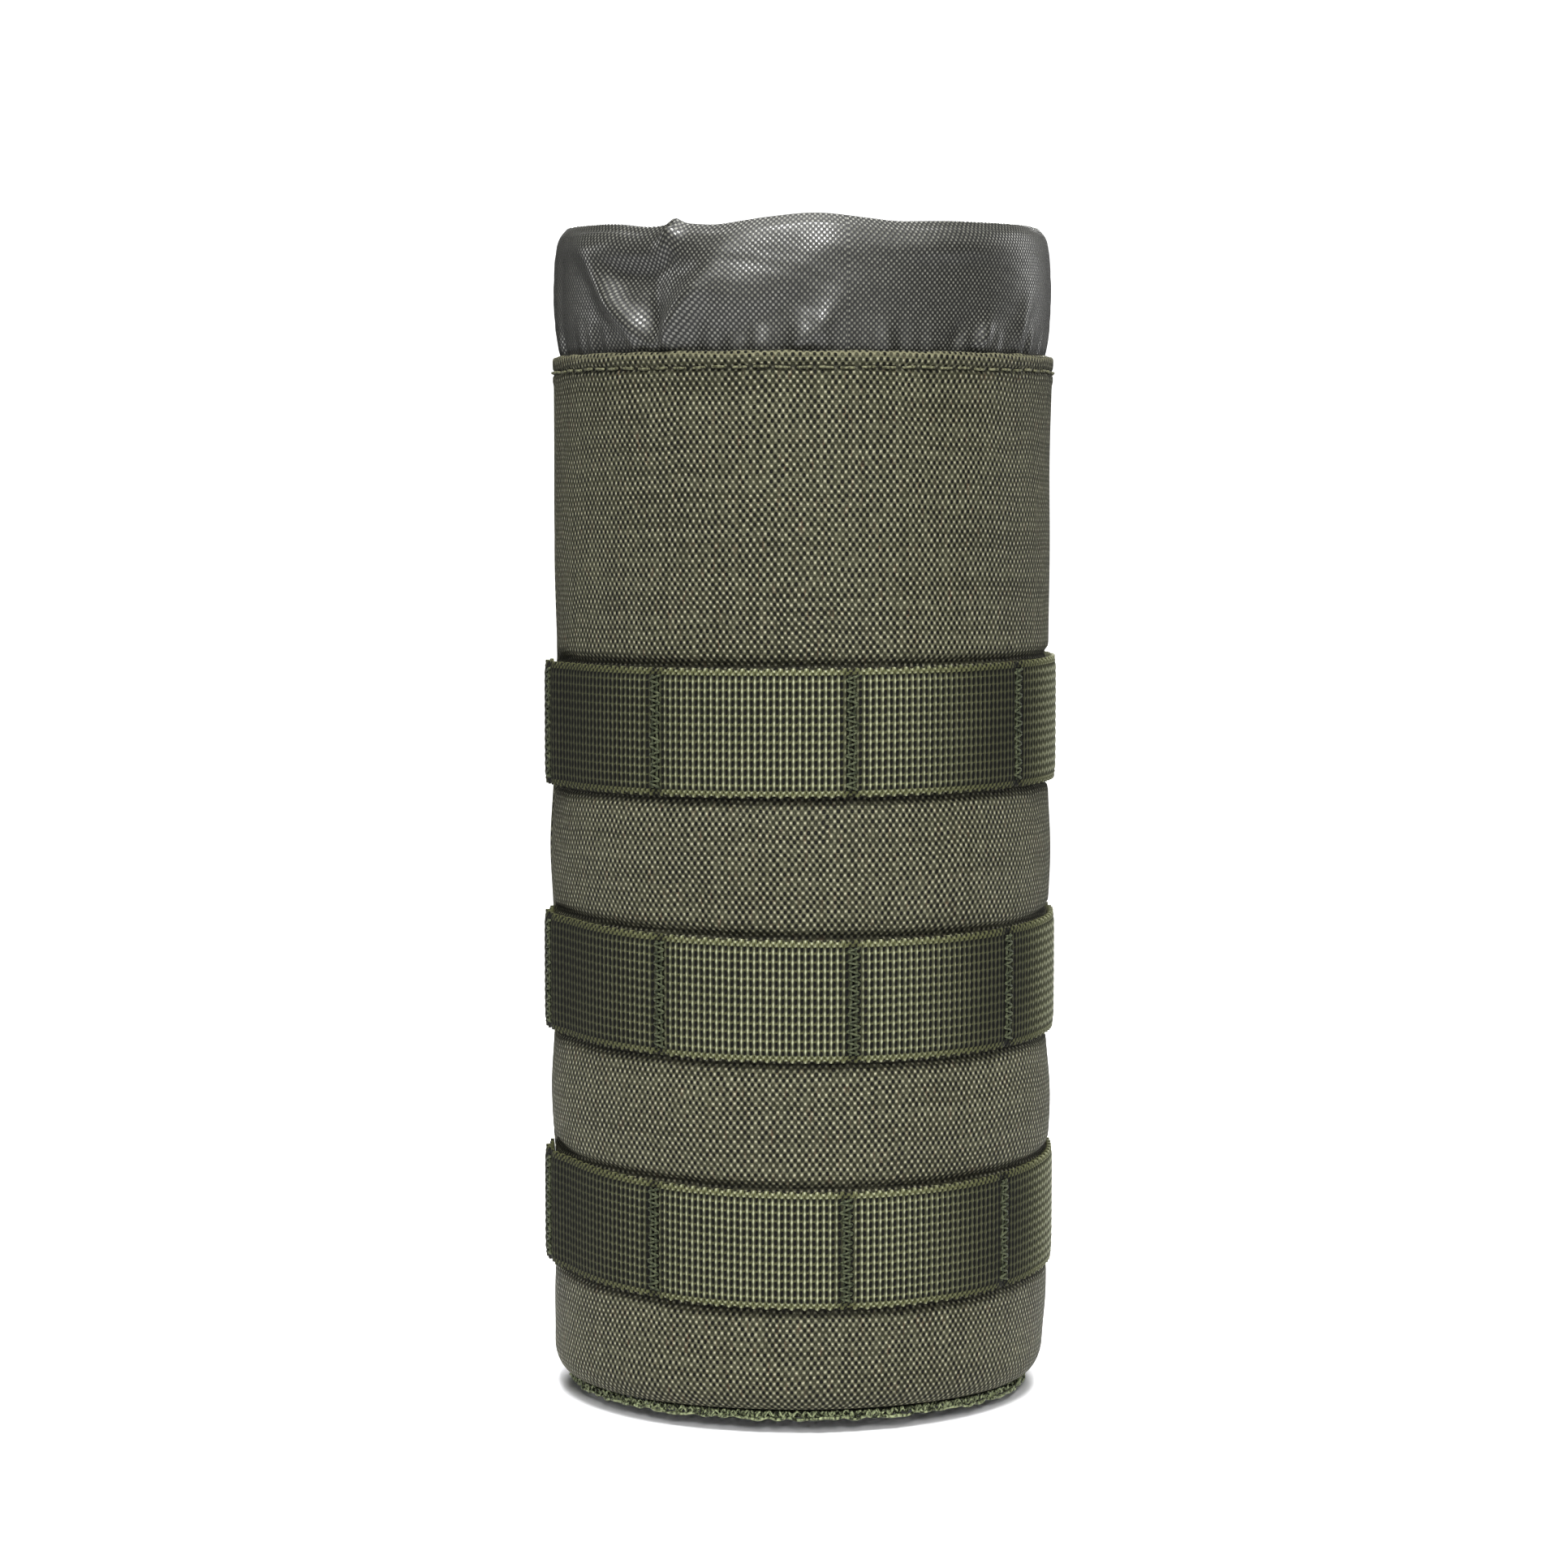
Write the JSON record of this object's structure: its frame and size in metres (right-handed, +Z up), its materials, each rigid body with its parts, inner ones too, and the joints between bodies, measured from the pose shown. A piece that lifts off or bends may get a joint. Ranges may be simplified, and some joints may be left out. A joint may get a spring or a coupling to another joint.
{
  "type": "bottle pouch",
  "caption": "Round cloth pouch that carries a bottle, with rows of load webbing, a drain net bottom, a tucked drawstring collar and snap straps on the back.",
  "frame": {"origin": "centre of the pouch's flat bottom, on the surface it stands on", "axes": "+Z up along the pouch, -Y out of the front with the webbing rows, +X to the right seen from the front"},
  "size_m": [0.11, 0.1121, 0.2452],
  "materials": {
    "shell_cloth": "coarse coated oxford weave, matt",
    "webbing": "ribbed woven nylon tape, satin",
    "collar_cloth": "thin coated oxford weave with a silvery sheen",
    "drain_net": "open polyester net",
    "thread": "twisted polyester sewing thread",
    "blackened_metal": "black oxide on brass, satin"
  },
  "bodies": {
    "pouch": {"front_panel": "shell_cloth", "back_panel": "shell_cloth", "lining": "collar_cloth", "seam_binding_left": "webbing", "seam_binding_right": "webbing", "top_hem": "shell_cloth", "hem_topstitch": "thread", "bottom_net": "drain_net", "net_edge": "drain_net", "collar_wall": "collar_cloth", "webbing_row_bottom": "webbing", "bartack_bottom_1": "thread", "bartack_bottom_2": "thread", "bartack_bottom_3": "thread", "bartack_bottom_4": "thread", "bartack_bottom_5": "thread", "webbing_row_middle": "webbing", "bartack_middle_1": "thread", "bartack_middle_2": "thread", "bartack_middle_3": "thread", "bartack_middle_4": "thread", "bartack_middle_5": "thread", "webbing_row_top": "webbing", "bartack_top_1": "thread", "bartack_top_2": "thread", "bartack_top_3": "thread", "bartack_top_4": "thread", "bartack_top_5": "thread", "back_row_bottom": "webbing", "back_bartack_bottom_left": "thread", "back_bartack_bottom_middle": "thread", "back_bartack_bottom_right": "thread", "back_row_middle": "webbing", "back_bartack_middle_left": "thread", "back_bartack_middle_middle": "thread", "back_bartack_middle_right": "thread", "back_row_top": "webbing", "back_bartack_top_left": "thread", "back_bartack_top_middle": "thread", "back_bartack_top_right": "thread", "strap_anchor_left": "webbing", "strap_anchor_right": "webbing", "snap_stud_left": "blackened_metal", "snap_stud_right": "blackened_metal"},
    "drawstring_collar": {"collar_sleeve": "collar_cloth", "draw_channel": "collar_cloth", "eyelet_left": "blackened_metal", "eyelet_right": "blackened_metal"},
    "left_strap": {"back_strap_left": "webbing", "snap_socket_left": "blackened_metal", "snap_cap_left": "blackened_metal"},
    "right_strap": {"back_strap_right": "webbing", "snap_socket_right": "blackened_metal", "snap_cap_right": "blackened_metal"}
  },
  "joints": [
    {"name": "collar_pull", "type": "slide", "parent": "pouch", "child": "drawstring_collar", "axis": [0, 0, 1], "range_m": [0, 0.03]},
    {"name": "left_strap_swing", "type": "hinge", "parent": "pouch", "child": "left_strap", "pos_m": [-0.02028, 0.05284, 0.194], "axis": [0.9336, 0.3584, 0], "range_deg": [0, 150]},
    {"name": "right_strap_swing", "type": "hinge", "parent": "pouch", "child": "right_strap", "pos_m": [0.02028, 0.05284, 0.194], "axis": [0.9336, -0.3584, 0], "range_deg": [0, 150]}
  ]
}
